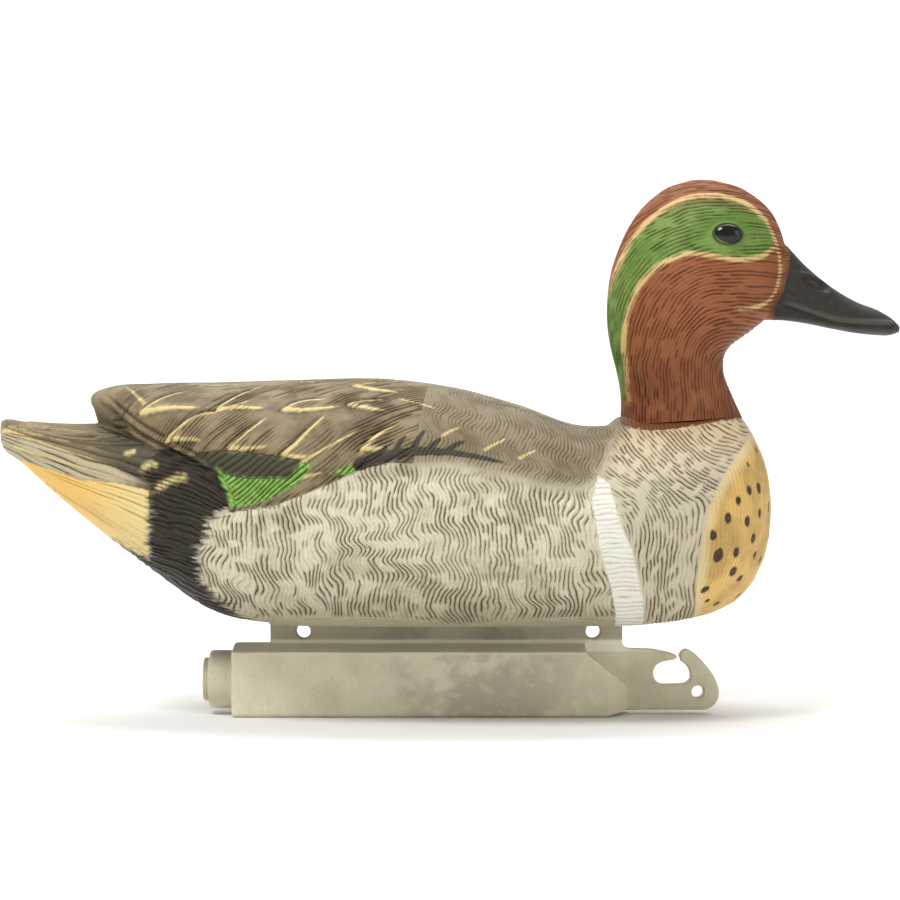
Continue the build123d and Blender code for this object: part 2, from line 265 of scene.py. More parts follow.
def noise(u, v, seed):
    """Smooth noise from -1 to 1 with a cell size of 1."""
    lattice = np.random.default_rng(seed).uniform(-1, 1, (128, 128))
    i, j = np.floor(u).astype(int), np.floor(v).astype(int)
    fu, fv = u - i, v - j
    fu, fv = fu * fu * (3 - 2 * fu), fv * fv * (3 - 2 * fv)
    corners = [lattice[(i + a) % 128, (j + b) % 128] for a in (0, 1) for b in (0, 1)]
    low = corners[0] * (1 - fv) + corners[1] * fv
    high = corners[2] * (1 - fv) + corners[3] * fv
    return low * (1 - fu) + high * fu


def bent(points, pieces=6):
    """More points along a smooth curve through a few."""
    rows = np.array([(k, *p) for k, p in enumerate(points)], float)
    if len(rows) < 3:
        return rows[:, 1:]
    return rows_between(rows, (len(rows) - 1) * pieces + 1)[:, 1:]


def from_line(u, v, line, reach):
    """Distance from a line, the share of its length at the nearest point, and the side, where
    plus is to the left of its direction. Points farther than reach get reach."""
    away = np.full(u.shape, float(reach))
    share = np.zeros(u.shape)
    side = np.ones(u.shape)
    line = np.array(line, float)
    near = np.nonzero((u > line[:, 0].min() - reach) & (u < line[:, 0].max() + reach)
                      & (v > line[:, 1].min() - reach) & (v < line[:, 1].max() + reach))[0]
    pu, pv = u[near], v[near]
    best, part, hand = away[near], share[near], side[near]
    lengths = np.hypot(*np.diff(line, axis=0).T)
    passed = np.concatenate([[0], np.cumsum(lengths)])
    for k, length in enumerate(lengths):
        du, dv = (line[k + 1] - line[k]) / length
        along = np.clip((pu - line[k, 0]) * du + (pv - line[k, 1]) * dv, 0, length)
        eu, ev = pu - line[k, 0] - along * du, pv - line[k, 1] - along * dv
        distance = np.hypot(eu, ev)
        closer = distance < best
        best = np.where(closer, distance, best)
        part = np.where(closer, (passed[k] + along) / passed[-1], part)
        hand = np.where(closer, np.where(du * ev - dv * eu >= 0, 1, -1), hand)
    away[near], share[near], side[near] = best, part, hand
    return away, share, side


def inside(u, v, outline):
    """Signed distance from a closed outline, plus inside, up to the reach."""
    loop = np.array(list(outline) + [outline[0]], float)
    away, _, _ = from_line(u, v, loop, REACH)
    within = np.zeros(u.shape, bool)
    for (a, b), (c, d) in zip(loop[:-1], loop[1:]):
        if b == d:
            continue
        crosses = (v > b) != (v > d)
        within ^= crosses & (u < (c - a) * (v - b) / (d - b) + a)
    return np.where(within, away, -away)


def stroke(u, v, line, half_width):
    """1 on a brushed line, falling to 0 at its edge and towards its far end."""
    away, share, _ = from_line(u, v, bent(line), half_width * 3)
    taper = 1 - 0.65 * share
    return np.clip(1.5 - away / (half_width * taper), 0, 1) * (1 - ease(0.75, 1.0, share))


# Each carved pattern's line spacing and depth.
CARVED = {
    "flank": (1.6, 0.55), "belly": (2.1, 0.35), "back": (1.35, 0.3), "wing": (1.5, 0.4),
    "band": (1.9, 0.3), "speculum": (1.75, 0.4), "grey_chest": (1.45, 0.45), "bar": (1.7, 0.4),
    "chest": (1.7, 0.15), "rump": (1.7, 0.45), "under_tail": (1.0, 0.22), "tail": (1.0, 0.35),
    "collar": (1.4, 0.2), "head": (1.35, 0.36),
}


class Grooves:
    """The carved lines of one mould: where in its cycle each point is, and how deep."""

    def __init__(self, pattern, across, depth):
        spacing, height = CARVED[pattern]
        self.phase, self.depth, self.height = across / spacing, depth, np.full(across.shape, height)

    def lay(self, pattern, region, across, depth, fade=0.8):
        """Carves another pattern inside a region; both fade out at its edge."""
        spacing, height = CARVED[pattern]
        at_edge = np.clip(np.abs(region) / fade, 0, 1)
        chosen = region > 0
        self.phase = np.where(chosen, across / spacing, self.phase)
        self.depth = np.where(chosen, depth, self.depth) * at_edge
        self.height = np.where(chosen, height, self.height)

    def relief(self):
        return -self.height * self.depth * crest(self.phase) ** 1.2


def attach(mesh, **layers):
    for name, values in layers.items():
        layer = mesh.attributes.new(name, "FLOAT", "POINT")
        layer.data.foreach_set("value", np.asarray(values, np.float32))


# ---- paint: node materials built up in coats ----
FLECKS = (0.86, 0.85, 0.82, 1.0)


def linear(red, green, blue):
    """A colour given as 0-255 display values."""
    def channel(value):
        value /= 255
        return value / 12.92 if value <= 0.04045 else ((value + 0.055) / 1.055) ** 2.4
    return (channel(red), channel(green), channel(blue), 1.0)


class Paint:
    """A Principled material whose colour is laid on in coats. Its axes are in metres."""

    def __init__(self, name, base, roughness):
        self.material = bpy.data.materials.new(name)
        self.material.use_nodes = True
        self.tree = self.material.node_tree
        self.shader = self.tree.nodes["Principled BSDF"]
        self.set(self.shader.inputs["Roughness"], roughness)
        self.shader.inputs["Specular IOR Level"].default_value = 0.28
        where = self.tree.nodes.new("ShaderNodeTexCoord")
        self.place = where.outputs["Object"]
        self.colour = base
        self.bump = None

    def set(self, socket, value):
        """Feeds a socket from another, from a layer's name or with a value. Colours of three parts
        are display values."""
        if isinstance(value, str):
            value = self.layer(value)
        elif isinstance(value, tuple) and len(value) == 3:
            value = linear(*value)
        if isinstance(value, bpy.types.NodeSocket):
            self.tree.links.new(value, socket)
        else:
            socket.default_value = value

    def layer(self, name):
        node = self.tree.nodes.new("ShaderNodeAttribute")
        node.attribute_name = name
        return node.outputs["Fac"]

    def axis(self, name):
        node = self.tree.nodes.new("ShaderNodeSeparateXYZ")
        self.set(node.inputs[0], self.place)
        return node.outputs[name]

    def math(self, operation, first, second=0.0, third=0.0):
        node = self.tree.nodes.new("ShaderNodeMath")
        node.operation = operation
        for socket, value in zip(node.inputs, (first, second, third)):
            self.set(socket, value)
        return node.outputs[0]

    def times(self, first, second):
        return self.math("MULTIPLY", first, second)

    def uneven(self, value, grain, amount):
        """A value shifted up and down by a grain that lies round 0.5."""
        return self.math("MULTIPLY_ADD", self.math("SUBTRACT", grain, 0.5), amount, value)

    def spread(self, value, low, high, out_low=0.0, out_high=1.0):
        """Eases value from one range into another."""
        node = self.tree.nodes.new("ShaderNodeMapRange")
        node.interpolation_type = "SMOOTHSTEP"
        for socket, given in zip(node.inputs[:5], (value, low, high, out_low, out_high)):
            self.set(socket, given)
        return node.outputs[0]

    def speckle(self, size, detail, stretch=(1.0, 1.0, 1.0)):
        """Noise around 0.5 whose blotches are about size millimetres."""
        node = self.tree.nodes.new("ShaderNodeMapping")
        node.inputs["Scale"].default_value = tuple(1 / (s * size * MM) for s in stretch)
        self.set(node.inputs["Vector"], self.place)
        grain = self.tree.nodes.new("ShaderNodeTexNoise")
        grain.inputs["Scale"].default_value = 1.0
        grain.inputs["Detail"].default_value = detail
        grain.inputs["Roughness"].default_value = 0.55
        self.set(grain.inputs["Vector"], node.outputs[0])
        return grain.outputs["Fac"]

    def mix(self, first, second, share, blend="MIX"):
        node = self.tree.nodes.new("ShaderNodeMix")
        node.data_type = "RGBA"
        node.blend_type = blend
        self.set(node.inputs["Factor"], share)
        for socket, value in zip([s for s in node.inputs if s.type == "RGBA"], (first, second)):
            self.set(socket, value)
        return [s for s in node.outputs if s.type == "RGBA"][0]

    def coat(self, colour, share, amount=None):
        if amount:
            share = self.times(share, amount)
        self.colour = self.mix(self.colour, colour, share)

    def darken(self, colour, share):
        """Multiplies the coats so far by a colour."""
        self.colour = self.mix(self.colour, colour, share, "MULTIPLY")

    def region(self, name, soft, ragged, grain):
        """Share of a coat inside a region whose layer holds millimetres from its edge."""
        return self.spread(self.uneven(name, grain, ragged), -soft, soft)

    def carve(self, painted_side_shade, core_wash_and_shade, distance, grain):
        """Shades the carved lines: painted shade down their sides, a dark broken core of wash and
        painted shade, and a bump.
        """
        wave = self.math("COSINE", self.times("phase", 2 * pi))
        wave = self.uneven(wave, grain, 0.7)
        self.darken(painted_side_shade, self.times(self.spread(wave, -0.5, 1.0), "depth"))
        self.darken(core_wash_and_shade, self.times(self.spread(wave, 0.45, 1.1), "depth"))
        hollow = self.times(self.math("MULTIPLY_ADD", wave, 0.5, 0.5), "depth")
        self.emboss(self.math("SUBTRACT", 1.0, hollow), distance)

    def fleck(self, fine):
        """Fine darker flecks over all the coats so far."""
        self.darken(FLECKS, self.spread(fine, 0.5, 0.8))

    def roughen(self, grain, low, high, least, most):
        self.set(self.shader.inputs["Roughness"], self.spread(grain, low, high, least, most))

    def emboss(self, height, distance, strength=1.0):
        """Adds a bump of a height map that spans distance millimetres."""
        node = self.tree.nodes.new("ShaderNodeBump")
        node.inputs["Strength"].default_value = strength
        node.inputs["Distance"].default_value = distance * MM
        self.set(node.inputs["Height"], height)
        if self.bump is not None:
            self.set(node.inputs["Normal"], self.bump)
        self.bump = node.outputs[0]

    def done(self):
        self.set(self.shader.inputs["Base Color"], self.colour)
        if self.bump is not None:
            self.set(self.shader.inputs["Normal"], self.bump)
        return self.material


# ---- the body mould ----
# Grid sizes of the skins.
BODY_VOXEL = 0.5
HEAD_VOXEL = 0.4
KEEL_VOXEL = 0.45

# Outlines seen from the side, (x, z).
OUTLINES = {
    "bar": [
        (51, 88), (48.3, 79), (51, 63), (55.5, 49), (59, 34), (59, 20), (69.5, 20), (69, 35),
        (66.5, 48), (63, 60.5), (58.7, 71), (54.8, 85),
    ],
    "chest": [
        (112, 104), (106.7, 100.4), (101, 94), (95, 86.3), (90.2, 77), (87.3, 66), (87, 57),
        (86, 47.5), (87, 37), (88, 20), (130, 20), (130, 104),
    ],
    "under_tail": [
        (-165, 95), (-153, 92.5), (-131, 86), (-118, 85.2), (-105.5, 82.6), (-105.8, 70.4),
        (-107.6, 58), (-126, 65.5), (-175, 82),
    ],
    "rump": [
        (-105.3, 84.5), (-109.5, 89.5), (-107, 93), (-103, 97), (-97.4, 97.5), (-90.7, 95),
        (-80, 90), (-74, 79), (-77, 76.5), (-84, 72), (-84.2, 68), (-88, 62), (-88, 54),
        (-85.5, 47.5), (-75.5, 38), (-66, 30), (-66, 20), (-140, 20), (-140, 73.5), (-126, 65.5),
        (-107.6, 58), (-105.8, 70.4),
    ],
    "tail": [
        (-175, 120), (-120, 112), (-112, 102), (-103, 97), (-107, 93), (-109.5, 89.5),
        (-105.3, 83), (-118, 85.2), (-131, 86), (-153, 92.5), (-175, 95),
    ],
    "low_feather": [
        (-164, 105), (-158.4, 103), (-139, 96.8), (-120, 91.5), (-106, 84.5), (-118, 85.2),
        (-131.5, 86), (-164, 95),
    ],
    "band": [
        (-89.3, 95.6), (-82, 96.4), (-74, 96.3), (-62, 95), (-51.6, 93.4), (-50, 92), (-56, 86.6),
        (-70, 86.6), (-78, 88.2), (-81, 89.8),
    ],
    "speculum": [
        (-81, 90.6), (-78, 88.6), (-70.2, 87), (-56.1, 87), (-50.6, 92.7), (-46.8, 92.9),
        (-51.4, 85.6), (-61.6, 80), (-75.2, 76.6),
    ],
    "grey_chest": [
        (61, 104.5), (57, 99), (53, 88), (58.5, 71), (63, 60.5), (66.5, 48), (69, 35), (69, 20),
        (130, 20), (130, 115), (61, 115),
    ],
    "collar": [
        (62.2, 106.6), (63, 105.6), (66, 104.5), (73, 103.8), (79, 104), (86, 105.3),
        (97.3, 107.3), (108, 108.4), (115, 109), (115, 118), (62.2, 118),
    ],
}
GREEN_SLIP = [(-41, 88.6), (-34.5, 91.6), (-28.5, 93), (-29.2, 91.2), (-36, 88)]

# Lines across the skin, (x, distance round the section from the back's middle line).
WING_RIM = [
    (-130, 2), (-127.7, 8), (-112.3, 28), (-97.4, 45), (-90.7, 52), (-82.5, 62.5), (-75.6, 76),
]
WING_EDGE = [
    (-131.5, 0), (-127.7, 9), (-112.3, 29), (-97.4, 46), (-90.7, 53), (-82.5, 63.5), (-75.6, 77),
    (-61.8, 79), (-48, 75), (-37.7, 71.5), (-29, 68), (-20, 66), (-5, 66),
]
BACK_EDGE = [
    (-40, 67), (0, 66), (17, 65.7), (34, 66.5), (45, 63), (51.5, 56.5), (56, 42), (60, 31),
    (64, 12), (66, -4),
]
# Feathers: upper edge and lower edge, both from the tip.
FEATHERS = [
    ([(-109.4, 22.6), (-101.3, 20.2), (-92.7, 18.6)], [(-109.4, 22.6), (-98.7, 26.9), (-86, 32.7)]),
    ([(-81.3, 34.7), (-72.7, 26), (-64.6, 18.3)], [(-81.3, 34.7), (-71.7, 36.8), (-62.9, 39.7)]),
    ([(-57.9, 41.1), (-52.6, 36.7), (-42.1, 35.3)], [(-57.9, 41.1), (-48.8, 41.9), (-36.7, 40.8)]),
    ([(-35, 40.2), (-30, 37.8), (-22, 36)], [(-35, 40.2), (-28, 42.5), (-21, 43)]),
    ([(-99, 38.1), (-89, 35.5), (-80.4, 35.9), (-66.2, 31.2)],
     [(-99, 38.1), (-92.6, 41.8), (-85.1, 46.5)]),
    ([(-76.5, 52.3), (-68.6, 47.9), (-62.6, 43.5)], [(-76.5, 52.3), (-69.1, 54.8), (-61.3, 56.5)]),
    ([(-57.4, 60.1), (-51.7, 55.4), (-41.8, 44)], [(-57.4, 60.1), (-52.6, 61.5), (-48.1, 62)]),
    ([(-30.2, 61.4), (-24.1, 54.7), (-17.3, 49.5)], [(-30.2, 61.4), (-25, 61), (-20, 60)]),
    ([(-95, 9), (-86, 5), (-76, 3)], [(-95, 9), (-85, 14), (-72, 16)]),
    ([(-62, 9), (-54, 5), (-44, 3)], [(-62, 9), (-52, 14), (-40, 16)]),
    ([(-34, 24), (-27, 19), (-18, 16)], [(-34, 24), (-26, 28), (-16, 29)]),
    ([(-32, 8), (-25, 5), (-16, 3)], [(-32, 8), (-24, 12), (-14, 13)]),
]
LONE_EDGES = [
    [(-108.7, 19.2), (-114, 11), (-119.2, 3.6)],
    [(-50.8, 63.5), (-41.3, 59.1), (-30.4, 53.1)],
    [(-10.5, 36.3), (-4.2, 38.6)],
    [(-2.4, 53), (4.5, 45.4)],
    [(12.1, 55.2), (20.9, 44.6)],
    [(24.2, 55.3), (30.6, 47.3)],
    [(-17.6, 34.2), (-10, 36.5), (-3.9, 38.4)],
    [(-49.8, 68.8), (-42.9, 68.3)],
]
# Dark streaks along the wing's front edge, with their half widths.
STREAKS = [
    ([(-31, 66.9), (-22.3, 63.9), (-12, 61.1), (0, 60.1), (14, 59.4), (25.5, 60.6)], 2.3),
    ([(-13, 61.2), (-11, 56), (-8, 50)], 1.3),
    ([(-7.5, 60.6), (-5, 56.5), (-2.4, 53.5)], 1.3),
    ([(-1, 60.2), (2, 56), (6.2, 52)], 1.3),
    ([(-19, 62.6), (-17, 57.5), (-14.5, 54)], 1.3),
    ([(-25, 64.5), (-21, 59)], 1.3),
]
# Tail feather edges, each with how much cream it carries, and pale dabs with their half
# widths, seen from the side, (x, z).
TAIL_EDGES = [
    ([(-162.5, 102.8), (-158.4, 103.4), (-139, 97), (-120, 91.5)], 1.0),
    ([(-160, 105), (-145, 101.5), (-130.6, 98.6)], 0.7),
    ([(-156, 106.6), (-142, 104.6), (-127, 102.4)], 0.35),
    ([(-157, 98), (-131.5, 90.6), (-106, 84.6)], 0.8),
]
DABS = [
    ([(-101.8, 83.6), (-98.4, 85.9), (-93, 87.4)], 1.9),
    ([(-107.5, 90.6), (-105.5, 91.6), (-103.4, 91.8)], 1.5),
    ([(-114, 95.8), (-111.5, 96.2)], 1.3),
]
# The yellow breast's lines run down a round of this radius about this x.
BREAST_RADIUS = 46.0
BREAST_MIDDLE = 70.0
# The front spots of the duck's left side sit off their mirror places, (across, up).
SPOT_SHIFT = (1.6, 3.7)
# Chest spots: x, distance from the middle plane, z, radius.
SPOTS = [
    (109.4, 30.1, 83.3, 1.9), (105.4, 36.8, 82.7, 1.5), (100.9, 41.9, 78.9, 1.4),
    (96.9, 46.2, 73.1, 1.7), (104.4, 39.1, 71.8, 1.7), (109.6, 31.2, 74.4, 1.5),
    (91.3, 49.8, 67.3, 1.6), (93.4, 46.7, 60.2, 2.3), (100.3, 41.2, 61, 1.7),
    (107.1, 34.6, 65.7, 1.7), (99.5, 38.6, 54.2, 1.8), (102.3, 33, 51.5, 1.4),
    (89.3, 41.9, 48.1, 1.7), (90.7, 35.5, 43.8, 1.2), (94.6, 29.5, 42.4, 1.4),
    (105.6, 32.6, 91.8, 0.9), (110.2, 20, 96.5, 1.1), (108, 30.3, 59.5, 1.3),
    (114.3, 19.7, 76.3, 1.7), (113, 12, 91, 1.5), (115.8, 9, 84, 1.7),
    (117, 3.5, 72, 1.8), (115.4, 14, 66.5, 1.6), (112, 22, 57, 1.8),
    (114, 5, 60, 1.5), (108.6, 15, 50, 1.7), (103, 22, 45, 1.4),
    (103.4, 6, 42.6, 1.6), (112.6, 3, 100, 1.2), (96, 15, 38.5, 1.4),
]


def round_the_back(x, across, z):
    """About how far a point lies round the section from the back's middle line."""
    stations = np.array(HULL)
    low, high, half, widest = (np.interp(x, stations[:, 0], stations[:, k]) for k in range(1, 5))
    above, below = high - widest, widest - low
    turn = np.arctan2(across / half, (z - widest) / np.where(z >= widest, above, below))
    upper, lower = np.sqrt((half**2 + above**2) / 2), np.sqrt((half**2 + below**2) / 2)
    return np.where(turn <= pi / 2, turn * upper, pi / 2 * upper + (turn - pi / 2) * lower)


def over(points, u):
    """The height of a broken line at each u."""
    points = np.array(points, float)
    return np.interp(u, points[:, 0], points[:, 1])


def dashes(u, v, seed):
    """Grooves that come and go along their length: u across them, v along."""
    return ease(-0.55, 0.25, noise(u, v, seed))


def level_deck(places):
    """Cuts the skin off at the seam under the head. Behind the neck the skin rises to meet it,
    just clear of the head as it turns."""
    x, y, z = places.T
    deck = PIVOT.z + SEAM_SLOPE * (x - PIVOT.x) - DECK_DROP
    limit = deck + 3.0 * (1 - ease(DECK_REAR, 59, x))
    flat = (z > limit) & (x > DECK_REAR)
    z = np.where(flat, limit, z)
    spoke = np.hypot(x - PIVOT.x, y)
    behind = ease(-0.6, -0.92, (x - PIVOT.x) / np.maximum(spoke, 1))
    lip = ease(32, 23, spoke) ** 3 * (spoke > NECK_CLEAR) * behind * ease(-5, -1, z - deck)
    places[:, 2] = z + LIP_HEIGHT * lip
    return deck, flat


def body_lines(x, z, side, arc, normals, areas, back):
    """The body's carved lines, pattern by pattern. Each u runs across its lines."""
    # The flank's upright wavy lines.
    lobes = np.cos(2 * pi * (z / 17 + 0.8 * noise(x / 30, z / 26, 27)))
    sway = 2.0 * noise(x / 28, z / 14, 1) + 0.9 * noise(x / 15, z / 4.5, 2) + lobes
    flank_u = x + 0.1 * (z - 70) + sway + 0.35 * noise(x / 4, z / 2.2, 3)
    flank_depth = 0.15 + 0.85 * dashes(flank_u / 2.4, z / 2.8, 4)
    flank_depth = flank_depth * (0.95 + 0.25 * noise(x / 18, z / 8, 5))
    flank_depth = np.minimum(flank_depth * (1 + 0.3 * ease(60, 42, z)), 1.25)
    grooves = Grooves("flank", flank_u, flank_depth)
    # Towards the belly the lines turn level and fade.
    belly = 36.5 + 2.5 * noise(x / 20, side / 9, 28) - z
    belly_u = arc + 1.5 * noise(x / 22, arc / 8, 29)
    belly_depth = 0.1 + 0.8 * ease(-0.2, 0.6, noise(belly_u / 2.1, x / 12, 30))
    grooves.lay("belly", belly, belly_u, belly_depth, 1.5)
    # The back's finer lines run across it in chevrons.
    zigzag = 1.4 * np.cos(2 * pi * (arc / 21 + 0.5 * noise(x / 26, arc / 24, 6)))
    back_u = x + zigzag + 0.9 * noise(x / 16, arc / 9, 7) + 0.25 * noise(x / 4, arc / 3, 35)
    grooves.lay("back", back, back_u, 0.2 + 0.35 * dashes(back_u / 1.6, arc / 4, 8), 3.0)
    # The wing feathers' slanting barbs.
    barb_u = -0.60 * x - 0.80 * arc + 1.6 * noise(x / 14, arc / 10, 9)
    barbs = ease(-0.9, 0.3, noise(x / 13, arc / 9, 10)) * 0.8 + 0.15
    barbs = barbs * dashes(barb_u / 1.7, (x - arc) / 9, 11)
    grooves.lay("wing", areas["wing"], barb_u, barbs, 0.4)
    grooves.lay("band", areas["band"], barb_u + 0.3 * x, 0.75, 0.4)
    barbs = 1.0 + 0.3 * dashes(barb_u / 1.75, (x - arc) / 7, 12)
    grooves.lay("speculum", areas["speculum"], barb_u, barbs, 0.4)
    # Under the neck the lines hang like a necklace, then turn upright on the breast.
    necklace = np.hypot(x - 114, z - 127)
    share = ease(58, 92, z)
    breast_u = share * necklace + (1 - share) * (141 - x) + 2.2 * noise(x / 13, z / 10, 13)
    breast_u = breast_u + 0.4 * noise(x / 3, z / 3, 14)
    breast_depth = 0.1 + 0.9 * dashes(breast_u / 1.9, (x - z) / 3, 15)
    breast_depth = breast_depth * (1.0 + 0.25 * noise(x / 12, z / 12, 16))
    grooves.lay("grey_chest", areas["grey_chest"], breast_u, breast_depth, 2.0)
    bar_u = z + 0.9 * noise(x / 6, z / 4, 17)
    grooves.lay("bar", areas["bar"], bar_u, 0.28 + 0.18 * noise(x / 4, z / 2, 18), 0.5)
    chest_u = BREAST_RADIUS * np.arctan2(side, x - BREAST_MIDDLE) + 0.8 * noise(side / 9, z / 9, 19)
    grooves.lay("chest", areas["chest"], chest_u, 0.12 + 0.12 * noise(side / 2, z / 8, 20))
    # Rump, under-tail fan and tail.
    rump_u = z + 0.32 * (x + 108) + 1.5 * noise(x / 15, z / 9, 21) + 0.4 * noise(x / 3, z / 3, 36)
    grooves.lay("rump", areas["rump"], rump_u, 0.35 + 0.65 * dashes(rump_u / 1.7, x / 6, 22))
    fan = np.arctan2(97 - z, x + 168) * 34 + ease(0.75, 0.3, np.abs(normals[:, 1])) * side / 2.4
    fan = fan + 0.3 * noise(x / 9, z / 5, 23)
    fan_depth = 0.1 + 0.45 * ease(0, 0.7, noise(fan, x / 14, 24))
    grooves.lay("under_tail", areas["under_tail"], fan, fan_depth)
    vane = np.arctan2(110.5 - z, x + 190) * 26 + ease(0.6, 0.95, normals[:, 2]) * side / 2.4
    vane = vane + 0.35 * noise(x / 12, z / 4, 25)
    grooves.lay("tail", areas["tail"], vane, 0.25 + 0.6 * dashes(vane, x / 10, 26))
    grooves.lay("collar", areas["collar"], x, 0.4, 0.4)
    # The wings' tips end plain.
    grooves.depth *= 1 - ease(0.25, 0.6, -normals[:, 0]) * (z > 103) * (x < -120)
    return grooves


def wing_edges(relief, x, z, side, arc, wing):
    """Raises the wing feathers' edges. Returns where they carry cream and where shade."""
    cream, shade = np.zeros(x.shape), np.zeros(x.shape)
    visible = 0.55 + 0.45 * ease(14, 20, arc)
    for upper, lower in FEATHERS:
        for line, inner in ((upper, 1), (lower, -1)):
            away, share, hand = from_line(x, arc, bent(line), 6)
            within = away * hand * inner
            fade = (1 - ease(0.6, 1.0, share)) * ease(2, 22, arc)
            relief += fade * (0.3 * bell(within - 0.6, 1.2) * (away < 6)
                              - 0.45 * bell(within + 1.1, 0.6))
            shade = np.maximum(shade, fade * bell(within + 1.3, 1.0))
            cream = np.maximum(cream, stroke(x, arc, line, 0.95) * visible)
            cream = np.maximum(cream, 0.4 * stroke(x, arc, line, 2.1) * visible)
    for line in LONE_EDGES:
        cream = np.maximum(cream, 0.8 * stroke(x, arc, line, 0.8))
    # Ripples follow the wing's rim.
    away, _, hand = from_line(x, arc, bent(WING_RIM), 8)
    within = -away * hand
    rim_wave = np.cos(2 * pi * (within - 0.3) / 2.3) * bell(within - 1.6, 2.6) * (x < -74)
    rim_wave *= ease(4, 16, arc)
    relief += 0.55 * rim_wave
    shade = np.maximum(shade, np.clip(-3.0 * rim_wave, 0, 1.3))
    # The wings meet in a groove down the back, deepest between their tips.
    relief -= 1.8 * bell(side, 1.5) * ease(-45, -85, x) * (z > 100) * (wing > 0)
    # The flank feathers rise over the wing's lower edge.
    over_wing = arc - over(WING_EDGE, x)
    along_edge = ease(-76, -66, x) * ease(-2, -24, x)
    relief += along_edge * (0.9 * bell(over_wing - 2.0, 2.2) * (over_wing > -1)
                            - 0.5 * bell(over_wing + 0.6, 0.8))
    return cream, shade


def tail_edges(relief, x, z, cream):
    """Raises the tail feathers' edges, and adds their cream and the pale dabs over the rump."""
    for line, creaminess in TAIL_EDGES:
        away, share, hand = from_line(x, z, bent(line), 4)
        relief -= 0.5 * bell(away * hand + 0.8, 0.5) * ease(0, 0.1, share)
        relief += 0.35 * bell(away * hand - 0.5, 0.8) * ease(0, 0.1, share)
        cream = np.maximum(cream, creaminess * stroke(x, z, line, 0.7))
    for line, half_width in DABS:
        away, _, _ = from_line(x, z, bent(line), 3 * half_width)
        cream = np.maximum(cream, 0.85 * bell(away, half_width))
    return cream


def chest_spots(x, y, z):
    """How far each point lies inside the nearest chest spot."""
    spots = np.full(x.shape, -3.0)
    for sx, sy, sz, radius in SPOTS:
        shifted = (y > 0) * (sy < 25)
        across, up = np.abs(y) - sy - SPOT_SHIFT[0] * shifted, z - sz - SPOT_SHIFT[1] * shifted
        away = np.sqrt((x - sx) ** 2 + across**2 + (up / 1.15) ** 2)
        spots = np.maximum(spots, radius - away)
    return spots


def body_mould():
    mesh = skin_of("body_mould", [lengthwise_tube(HULL), lengthwise_tube(WING)], BODY_VOXEL, 4)
    places, normals = points_of(mesh)
    deck, flat = level_deck(places)
    x, y, z = places.T
    side = np.abs(y)
    arc = round_the_back(x, side, z)

    areas = {name: inside(x, z, outline) for name, outline in OUTLINES.items()}
    areas["speculum"] = np.maximum(areas["speculum"], inside(x, z, GREEN_SLIP))
    wing = np.minimum(over(WING_EDGE, x) - arc, -6 - 0.1 * arc - x)
    areas["wing"] = wing = np.clip(np.minimum(wing, (x + 131) * 2), -REACH, REACH)
    steepness = 1 + 1.5 * ease(46, 56, x)
    back_paint = np.clip((over(BACK_EDGE, x) - arc) / steepness, -REACH, REACH)
    back = np.clip(np.minimum(back_paint, x + 6 + 0.1 * arc), -REACH, REACH)

    grooves = body_lines(x, z, side, arc, normals, areas, back)
    relief = grooves.relief()
    cream, shade = wing_edges(relief, x, z, side, arc, wing)
    cream = tail_edges(relief, x, z, cream)
    streak = np.zeros(x.shape)
    for line, half_width in STREAKS:
        streak = np.maximum(streak, stroke(x, arc, line, half_width))
    spots = chest_spots(x, y, z)
    relief -= 0.2 * ease(-0.3, 0.4, spots)
    # The relief dies out towards the seam, and the deck stays flat.
    relief *= ease(0.2, 1.5, np.where(x > 56, deck - z, 9.0))
    relief = np.where(flat, 0.0, relief)
    put_points(mesh, places + normals * relief[:, None])
    attach(mesh, phase=grooves.phase, depth=grooves.depth, back=back_paint, shade=shade, cream=cream,
           streak=streak, spots=spots, **areas)
    return finish_piece("body_mould", mesh, body_paint(), "hull", ["body_shell"])


